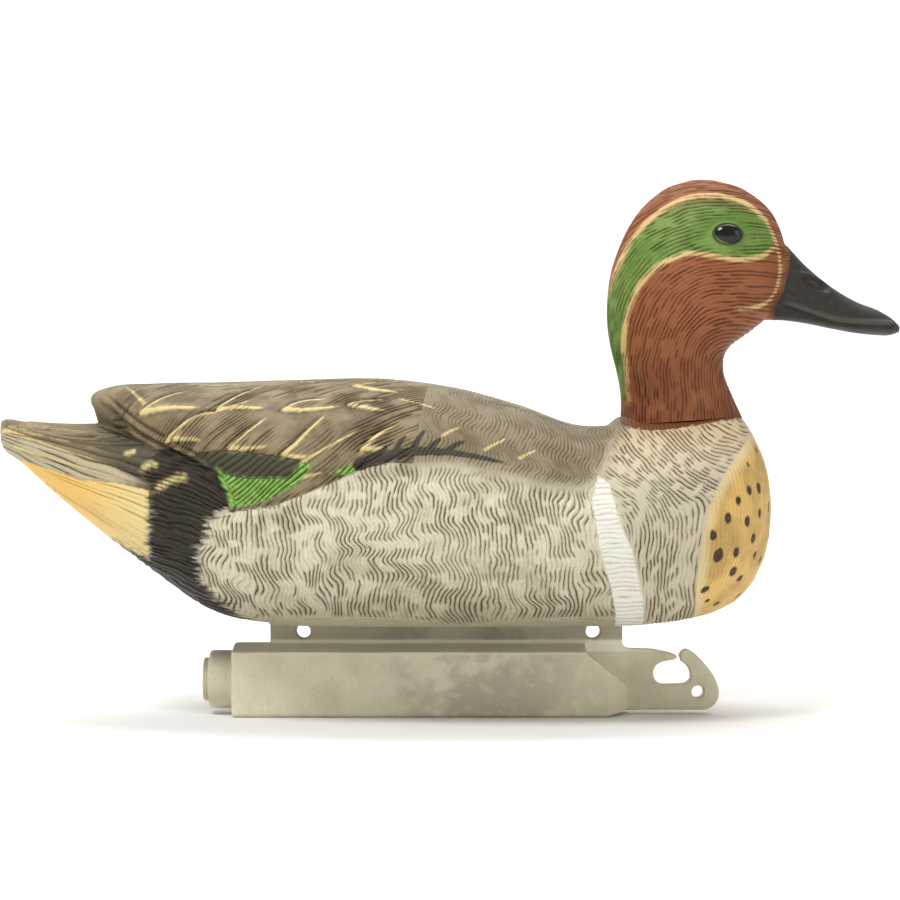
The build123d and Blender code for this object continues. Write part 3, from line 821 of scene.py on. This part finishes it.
def body_paint():
    """The drake's body: taupe back, beige flanks, black rump, yellow chest with spots."""
    paint = Paint("body_paint", (212, 204, 178), 0.55)
    broad = paint.speckle(14, 3)
    brush = paint.speckle(2.2, 3)
    fine = paint.speckle(0.7, 2)
    height = paint.axis("Z")
    lengthwise = paint.axis("X")
    # Flanks and breast.
    paint.coat((190, 181, 152), paint.spread(broad, 0.45, 0.7))
    paint.coat((232, 226, 202), paint.spread(brush, 0.5, 0.75), 0.5)
    # Painted shade: the flanks darken towards the belly.
    paint.coat((158, 150, 123), paint.spread(height, 0.052, 0.034), 0.75)
    grey_chest = paint.region("grey_chest", 2.5, 3, brush)
    paint.coat((198, 188, 162), grey_chest)
    paint.coat((204, 185, 151), paint.times(paint.spread(height, 0.086, 0.104), grey_chest))
    # Back and wings.
    taupe = paint.mix((133, 120, 93), (120, 107, 80), paint.spread(broad, 0.4, 0.65))
    paint.coat(taupe, paint.spread("back", -8.0, 8.0))
    wing = paint.mix((136, 121, 90), (109, 96, 70), paint.spread(broad, 0.42, 0.62))
    paint.coat(wing, paint.region("wing", 0.8, 1.5, brush))
    paint.darken((0.38, 0.33, 0.27, 1.0), paint.times("shade", 0.85))
    # Tail, rump and under-tail.
    tail = paint.region("tail", 1.0, 2, brush)
    paint.coat((128, 113, 84), tail)
    root = paint.spread(paint.math("MULTIPLY_ADD", brush, 0.012, lengthwise), -0.128, -0.108)
    paint.coat((68, 60, 43), paint.times(root, tail), 0.85)
    paint.coat((184, 173, 143), paint.region("low_feather", 1.2, 1.5, brush))
    towards_rump = paint.spread(lengthwise, -0.140, -0.106)
    yellow = paint.mix((234, 190, 104), (226, 204, 140), towards_rump)
    paint.coat(yellow, paint.region("under_tail", 0.4, 1.2, brush))
    streaks = paint.speckle(1.3, 2, (5.0, 5.0, 1.0))
    paint.coat((45, 39, 25), paint.region("rump", 2.2, 10.0, streaks))
    # Band, speculum and brushed lines.
    paint.coat((74, 74, 52), paint.region("band", 1.1, 3.0, brush))
    green = paint.mix((124, 170, 74), (156, 202, 106), paint.spread(brush, 0.4, 0.7))
    paint.coat(green, paint.region("speculum", 0.9, 2.4, brush))
    dry = paint.uneven("cream", brush, 1.0)
    paint.coat((228, 208, 146), paint.spread(dry, 0.1, 1.15), 0.9)
    dark = paint.uneven("streak", brush, 0.8)
    paint.coat((64, 58, 48), paint.spread(dark, 0.25, 0.7))
    # White bar, spotted chest and collar.
    paint.coat((233, 230, 217), paint.region("bar", 0.4, 1.0, brush))
    chest = paint.mix((222, 182, 106), (192, 156, 90), paint.spread(broad, 0.4, 0.65))
    rim = paint.math("SUBTRACT", paint.spread("chest", -0.5, 0.3), paint.spread("chest", 1.2, 4.5))
    paint.coat(chest, paint.region("chest", 0.4, 1.0, brush))
    paint.coat((222, 205, 158), rim, 0.7)
    paint.coat((66, 48, 26), paint.region("spots", 0.45, 1.5, brush))
    worn = paint.times(paint.spread("spots", 0.5, 1.6), paint.spread(brush, 0.42, 0.6))
    paint.coat((96, 82, 54), worn)
    paint.coat((120, 70, 40), paint.region("collar", 0.4, 2.6, brush))
    # Painted shade down the carved lines' sides, and dark cores that are partly wash and partly
    # painted shade.
    paint.carve((0.74, 0.70, 0.62, 1.0), (0.18, 0.14, 0.09, 1.0), 0.4, fine)
    paint.fleck(fine)
    paint.roughen(broad, 0.2, 0.8, 0.5, 0.66)
    paint.emboss(fine, 0.06, 0.5)
    return paint.done()


# ---- the head mould ----
SWEEP_CENTRE = (112.0, 118.0)      # the carved head lines curve round this point
EYE = (99.9, 174.4)
EYE_HALF = (5.0, 3.7)
HEAD_GREEN = [
    (114.8, 179.6), (107, 185.6), (97.5, 188), (87.7, 187.6), (80, 184.6), (73.3, 180),
    (66.9, 173.5), (62.3, 165.3), (59.6, 158), (58.4, 154.4), (48, 150), (48, 112), (61.5, 112),
    (64, 117.6), (63.4, 127), (62.6, 136), (63.3, 144.3), (65.6, 151.8), (69.1, 158.4),
    (74.5, 163.4), (81.2, 167), (86.9, 168.3), (97.7, 166.6), (105.4, 166), (113.6, 167.8),
    (117.8, 172.0), (116.4, 176.2),
]
BILL_PART = [
    (126, 176), (124.3, 171), (123.5, 163.4), (121.4, 155), (117.8, 147.8), (119.2, 143.8),
    (119, 130), (180, 130), (180, 180), (126, 180),
]
HEAD_LINES = [
    ([
        (114.5, 180.6), (107, 186.4), (97.5, 188.9), (87.7, 188.5), (80.1, 185.6), (73.3, 181),
        (66.9, 174.3), (62.3, 166), (59.4, 158.2), (57.4, 153),
    ], 0.95),
    ([
        (117.6, 170), (112, 166.6), (105.4, 165.3), (97.7, 165.8), (86.9, 167.5), (81.2, 166.1),
        (74.5, 162.6), (69.6, 157.8), (66.1, 151.4), (63.8, 144), (63.1, 136), (64, 127),
        (65, 114),
    ], 0.95),
    ([
        (114.5, 180.6), (117.3, 174.9), (119.4, 168.7), (120, 161.9), (118.4, 155),
        (115.2, 150.6), (109.6, 148.2), (103, 147.8),
    ], 0.75),
]
MOUTH = [(119.5, 150.4), (124, 149.4), (131.1, 147), (141.6, 143.9), (151.8, 142.9), (160, 142.6)]
NOSTRIL = (133.0, 157.4)
NOSTRIL_HALF = (4.6, 1.7)
NOSTRIL_TILT = radians(-27)


def head_sweep(x, z, side, normals):
    """Across and along the head's carved lines: level on the face and upright on the neck, with a
    quarter turn between. Both are measured round the mould, so they also run down nape and throat."""
    stations = np.array(HEAD)
    back_x, front_x, half = (np.interp(z, stations[:, 0], stations[:, k]) for k in (1, 2, 3))
    middle, reach = (back_x + front_x) / 2, (front_x - back_x) / 4 + half / 2
    turn = np.arctan2(side, x - middle) - pi / 2
    right = np.maximum(SWEEP_CENTRE[0] - middle + reach * turn, 0)
    over_crown = 7.5 * (1 - np.tanh(side / 9)) * ease(0, 0.8, normals[:, 2])
    up = np.maximum(z - SWEEP_CENTRE[1] + over_crown, 0)
    sweep = (right**3 + up**3) ** (1 / 3)
    sweep = sweep + 0.9 * noise(x / 13, z / 9, 31) + 0.3 * noise(x / 5, z / 4, 32)
    along = np.where(up > 0, np.arctan2(up, right) * sweep, z - SWEEP_CENTRE[1]) + 0.3 * side
    return sweep, along


def bill_relief(relief, x, z, side, bill_part):
    """The bill lies lower than the feathers, with the mouth's ridge and the nostrils."""
    relief -= 0.15 * ease(-0.6, 1.0, bill_part)
    away, share, hand = from_line(x, z, bent(MOUTH), 5)
    on_side = (side > 4) * (bill_part > 0) * ease(0, 0.12, share)
    ridge = on_side * bell(away * hand - 0.5, 0.8)
    gape = on_side * bell(away * hand + 1.1, 0.7)
    relief += 0.8 * ridge - 0.5 * gape
    du, dv = x - NOSTRIL[0], z - NOSTRIL[1]
    nu = (du * np.cos(NOSTRIL_TILT) + dv * np.sin(NOSTRIL_TILT)) / NOSTRIL_HALF[0]
    nv = (dv * np.cos(NOSTRIL_TILT) - du * np.sin(NOSTRIL_TILT)) / NOSTRIL_HALF[1]
    nostril = np.hypot(nu, nv)
    slit = bell(nostril - 0.8, 0.3)
    relief += (side > 2) * (0.4 * bell(nostril - 1.4, 0.3) - 0.7 * slit)
    return np.maximum((side > 2) * slit, gape), ridge


def head_cream(x, z, phase):
    """The cream lines round the green stripe. Near the bill they catch only the ridges."""
    cream = np.zeros(x.shape)
    for points, half_width in HEAD_LINES:
        away, share, _ = from_line(x, z, bent(points, 4), 4)
        near = np.clip(1.6 - away / half_width, 0, 1) * (1 - 0.5 * ease(0.8, 1, share))
        beside = 0.4 * ease(2.6 * half_width, 0.8 * half_width, away)
        cream = np.maximum(cream, np.maximum(near, beside))
    return cream * (1 - 0.6 * ease(112, 117, x) * crest(phase))


def head_mould():
    bill = lengthwise_tube(BILL, widest_share=0.4, powers=(0.8, 0.8), count=90, around=72)
    mesh = skin_of("head_mould", [upright_tube(HEAD), bill], HEAD_VOXEL, 5)
    places, normals = points_of(mesh)
    x, y, z = places.T
    foot = PIVOT.z + SEAM_SLOPE * (x - PIVOT.x) - FOOT_DROP
    flat = z < foot
    places[:, 2] = z = np.where(flat, foot, z)
    side = np.abs(y)

    bill_part = inside(x, z, BILL_PART)
    sweep, along = head_sweep(x, z, side, normals)
    depth = 0.15 + 0.85 * dashes(sweep / 1.4, along / 3.6, 33)
    depth = depth * (0.8 + 0.2 * noise(x / 9, z / 9, 34)) * ease(0.2, -1.2, bill_part)
    grooves = Grooves("head", sweep, depth)
    relief = grooves.relief()
    # Lids: a raised ring round each eye, in a shallow dip.
    ring = np.hypot((x - EYE[0]) / EYE_HALF[0], (z - EYE[1]) / EYE_HALF[1])
    near_eye = ease(2.2, 1.3, ring) * (side > 10)
    relief *= 1 - near_eye
    relief += (side > 10) * (0.4 * bell(ring - 1.1, 0.12) - 0.25 * bell(ring - 1.45, 0.2))
    grooves.depth *= 1 - near_eye
    hollows, ridge = bill_relief(relief, x, z, side, bill_part)
    lines = head_cream(x, z, grooves.phase)
    relief += 0.15 * lines
    # The relief dies out towards the seam, and the foot stays flat.
    relief *= ease(0.1, 1.2, z - foot)
    relief = np.where(flat, 0.0, relief)
    put_points(mesh, places + normals * relief[:, None])
    attach(mesh, phase=grooves.phase, depth=grooves.depth, green=inside(x, z, HEAD_GREEN),
           bill=bill_part, lines=lines, hollows=hollows, ridge=ridge,
           lids=np.where(side > 10, ring, 9))
    return finish_piece("head_mould", mesh, head_paint(), "head", ["head_shell"])


def head_paint():
    """Chestnut head, green eye patch edged in cream, dark bill."""
    paint = Paint("head_paint", (147, 88, 52), 0.55)
    broad = paint.speckle(10, 3)
    brush = paint.speckle(1.8, 3)
    fine = paint.speckle(0.6, 2)
    height = paint.axis("Z")
    paint.coat((121, 69, 39), paint.spread(height, 0.142, 0.118), 0.85)
    paint.coat((144, 88, 54), paint.spread(height, 0.181, 0.191))
    paint.coat((150, 93, 57), paint.spread(broad, 0.45, 0.7), 0.6)
    green = paint.mix((117, 144, 69), (94, 126, 50), paint.spread(broad, 0.4, 0.65))
    patch = paint.region("green", 0.5, 1.5, brush)
    paint.coat(green, patch)
    upper = paint.times(paint.spread(height, 0.176, 0.187), paint.spread("green", 5.0, 0.0))
    paint.coat((116, 112, 62), paint.times(upper, patch))
    dry = paint.uneven("lines", brush, 0.8)
    paint.coat((220, 192, 132), paint.spread(dry, 0.2, 1.05), 0.88)
    # Painted shade down the carved lines' sides, and dark cores that are partly wash and partly
    # painted shade.
    paint.carve((0.74, 0.67, 0.62, 1.0), (0.24, 0.17, 0.13, 1.0), 0.4, fine)
    paint.coat((74, 52, 40), paint.spread("bill", -2.6, -0.2), 0.7)
    bill = paint.mix((46, 43, 38), (58, 55, 49), paint.spread(brush, 0.45, 0.75))
    paint.coat(bill, paint.region("bill", 0.35, 0.8, brush))
    # Painted highlight on the mouth's ridge, and painted shade in the mouth's groove and the nostril
    # slits.
    paint.coat((92, 88, 80), "ridge", 0.6)
    paint.coat((30, 28, 25), "hollows", 0.5)
    lid = paint.times(paint.spread("lids", 1.22, 1.08), paint.spread("lids", 0.8, 0.95))
    paint.coat((52, 58, 34), lid, 0.85)
    paint.fleck(fine)
    paint.roughen(broad, 0.2, 0.8, 0.48, 0.64)
    paint.emboss(fine, 0.05, 0.5)
    return paint.done()


# ---- the keel and the CAD parts that stay ----
def keel_mould():
    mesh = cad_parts["keel"].data.copy()
    mesh.transform(Matrix.Scale(1 / MM, 4))
    for layer in [a.name for a in mesh.attributes if not a.is_required]:
        mesh.attributes.remove(mesh.attributes[layer])
    skin = remeshed("keel_mould", mesh, KEEL_VOXEL, 8)
    places, normals = points_of(skin)
    x, _, z = places.T
    ripple = 0.12 * noise(x / 16, z / 9, 41) + 0.05 * noise(x / 5, z / 4, 42)
    places += normals * ripple[:, None]
    # The foot stays just above the ground.
    places[:, 2] = np.maximum(places[:, 2], 0.02)
    put_points(skin, places)
    return finish_piece("keel_mould", skin, keel_paint(), "hull", ["keel"])


def keel_paint():
    """Bare beige-grey plastic with a faint pinkish bloom along the chamber's middle."""
    paint = Paint("keel_paint", (226, 219, 192), 0.5)
    broad = paint.speckle(22, 4)
    brush = paint.speckle(5, 4, (1.6, 1.6, 1.0))
    fine = paint.speckle(0.8, 2)
    lengthwise = paint.axis("X")
    middle = paint.times(paint.spread(lengthwise, -0.045, 0.0), paint.spread(lengthwise, 0.062, 0.02))
    bloom = paint.spread(paint.math("ADD", broad, paint.times(brush, 0.5)), 0.62, 0.86)
    bloom = paint.times(bloom, middle)
    paint.coat((214, 206, 178), paint.spread(broad, 0.4, 0.65))
    paint.coat((180, 164, 148), bloom, 0.65)
    paint.coat((234, 227, 202), paint.spread(brush, 0.52, 0.72), 0.45)
    height = paint.axis("Z")
    # Painted light: the chamber's top ledge is painted paler against the body's shadow.
    ledge_painted_light = paint.times(paint.spread(height, 0.0225, 0.0235), paint.spread(height, 0.0276, 0.0268))
    paint.coat((250, 245, 224), ledge_painted_light, 0.9)
    # Painted shade on the web under the body.
    web_painted_shade = paint.spread(height, 0.0268, 0.0282)
    paint.darken((0.60, 0.60, 0.58, 1.0), web_painted_shade)
    tab, filler = paint.spread(lengthwise, 0.064, 0.067), paint.spread(lengthwise, -0.0795, -0.081)
    paint.darken((0.90, 0.90, 0.89, 1.0), paint.math("MAXIMUM", tab, filler))
    paint.fleck(fine)
    paint.roughen(brush, 0.2, 0.8, 0.42, 0.6)
    paint.emboss(fine, 0.05, 0.5)
    paint.emboss(brush, 0.2, 0.3)
    return paint.done()


def moulded_plastic(name, colour, shade, grain=0.8):
    paint = Paint(name, colour, 0.5)
    fine = paint.speckle(grain, 3)
    paint.coat(shade, paint.spread(paint.speckle(9, 3), 0.4, 0.68))
    paint.darken((0.85, 0.85, 0.82, 1.0), paint.spread(fine, 0.5, 0.8))
    paint.roughen(fine, 0.3, 0.7, 0.4, 0.58)
    paint.emboss(fine, 0.05, 0.5)
    return paint.done()


def eye_gloss():
    paint = Paint("eye_gloss", (14, 12, 11), 0.06)
    cloud = paint.speckle(2.5, 2)
    paint.coat((24, 18, 15), paint.spread(cloud, 0.5, 0.75))
    paint.roughen(cloud, 0.3, 0.7, 0.04, 0.1)
    paint.shader.inputs["Specular IOR Level"].default_value = 0.35
    paint.shader.inputs["Coat Weight"].default_value = 0.25
    paint.shader.inputs["Coat Roughness"].default_value = 0.03
    return paint.done()


def rolled_steel():
    paint = Paint("rolled_steel", (150, 150, 146), 0.35)
    brushed = paint.speckle(1.5, 4, (8.0, 1.0, 1.0))
    paint.coat((112, 110, 106), paint.spread(brushed, 0.42, 0.66))
    paint.shader.inputs["Metallic"].default_value = 1.0
    paint.roughen(brushed, 0.3, 0.7, 0.25, 0.45)
    paint.emboss(brushed, 0.02, 0.5)
    return paint.done()


def dress(material, *nodes):
    """Gives CAD parts a finish in place of their plain one."""
    for node in nodes:
        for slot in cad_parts[node].material_slots:
            slot.material = material


def dress_cad_parts():
    dress(eye_gloss(), "left_eye", "right_eye")
    dress(moulded_plastic("plug_plastic", (200, 193, 166), (188, 180, 154)), "keel_plug")
    dress(moulded_plastic("bearing_plastic", (222, 218, 204), (206, 201, 186)),
          "neck_socket", "neck_hub", "neck_washer")
    dress(moulded_plastic("seal_rubber", (36, 36, 38), (26, 26, 28), 0.5),
          "neck_seal_ring", "keel_plug_seal")
    dress(moulded_plastic("sand", (190, 166, 120), (160, 134, 92), 0.5), "keel_ballast")
    dress(rolled_steel(), "neck_clip", "neck_hub_screws", "keel_screws")


# ---- stage and lights, laid out in metres, and camera ----
def stage():
    """A pale floor that curves up into a backdrop."""
    half, front, back, rise, bend = 5.0, -6.0, 1.6, 2.4, 0.7
    profile = [(front, 0.0)]
    for k in range(13):
        turn = k / 12 * pi / 2
        profile.append((back - bend + bend * np.sin(turn), bend * (1 - np.cos(turn))))
    profile.append((back, rise))
    verts = [(side * half, y, z) for y, z in profile for side in (-1, 1)]
    faces = [(2 * k, 2 * k + 1, 2 * k + 3, 2 * k + 2) for k in range(len(profile) - 1)]
    mesh = bpy.data.meshes.new("stage")
    mesh.from_pydata(verts, [], faces)
    mesh.shade_smooth()
    paint = Paint("stage_paper", (240, 240, 239), 0.95)
    paint.coat((242, 242, 241), paint.spread(paint.speckle(40, 2), 0.3, 0.7))
    mesh.materials.append(paint.done())
    floor = new_object("stage", mesh)


def softbox(name, place, target, size, power):
    light = bpy.data.lights.new(name, "AREA")
    light.shape = "RECTANGLE"
    light.size, light.size_y = size
    light.energy = power
    lamp = new_object(name, light)
    lamp.location = place
    lamp.rotation_euler = (Vector(target) - Vector(place)).to_track_quat("-Z", "Y").to_euler()


def lights():
    middle = (0.0, 0.0, 0.10)
    softbox("key", (-0.55, -0.75, 1.25), middle, (0.55, 0.45), 15)
    softbox("fill", (1.2, -0.9, 0.5), middle, (0.8, 0.8), 3)
    softbox("top", (0.1, 0.35, 1.3), middle, (1.2, 0.8), 5)
    softbox("backdrop", (0.0, 0.5, 1.9), (0.0, 1.6, 0.7), (2.4, 0.5), 26)
    world = bpy.data.worlds.new("studio")
    world.use_nodes = True
    world.node_tree.nodes["Background"].inputs["Color"].default_value = (1.0, 1.0, 1.0, 1.0)
    world.node_tree.nodes["Background"].inputs["Strength"].default_value = 0.42
    bpy.context.scene.world = world


def camera():
    lens = bpy.data.cameras.new("camera")
    lens.sensor_width = 36.0
    lens.lens = lens.sensor_width * CAMERA_DISTANCE / VIEW_WIDTH
    lens.clip_start = 0.01
    view = new_object("camera", lens)
    view.location = (0.0, -CAMERA_DISTANCE * MM, CAMERA_HEIGHT * MM)
    view.rotation_euler = (pi / 2, 0.0, 0.0)
    bpy.context.scene.camera = view
    bpy.context.scene.view_settings.view_transform = "Standard"


camera()
stage()
lights()
body_mould()
head_mould()
keel_mould()
dress_cad_parts()
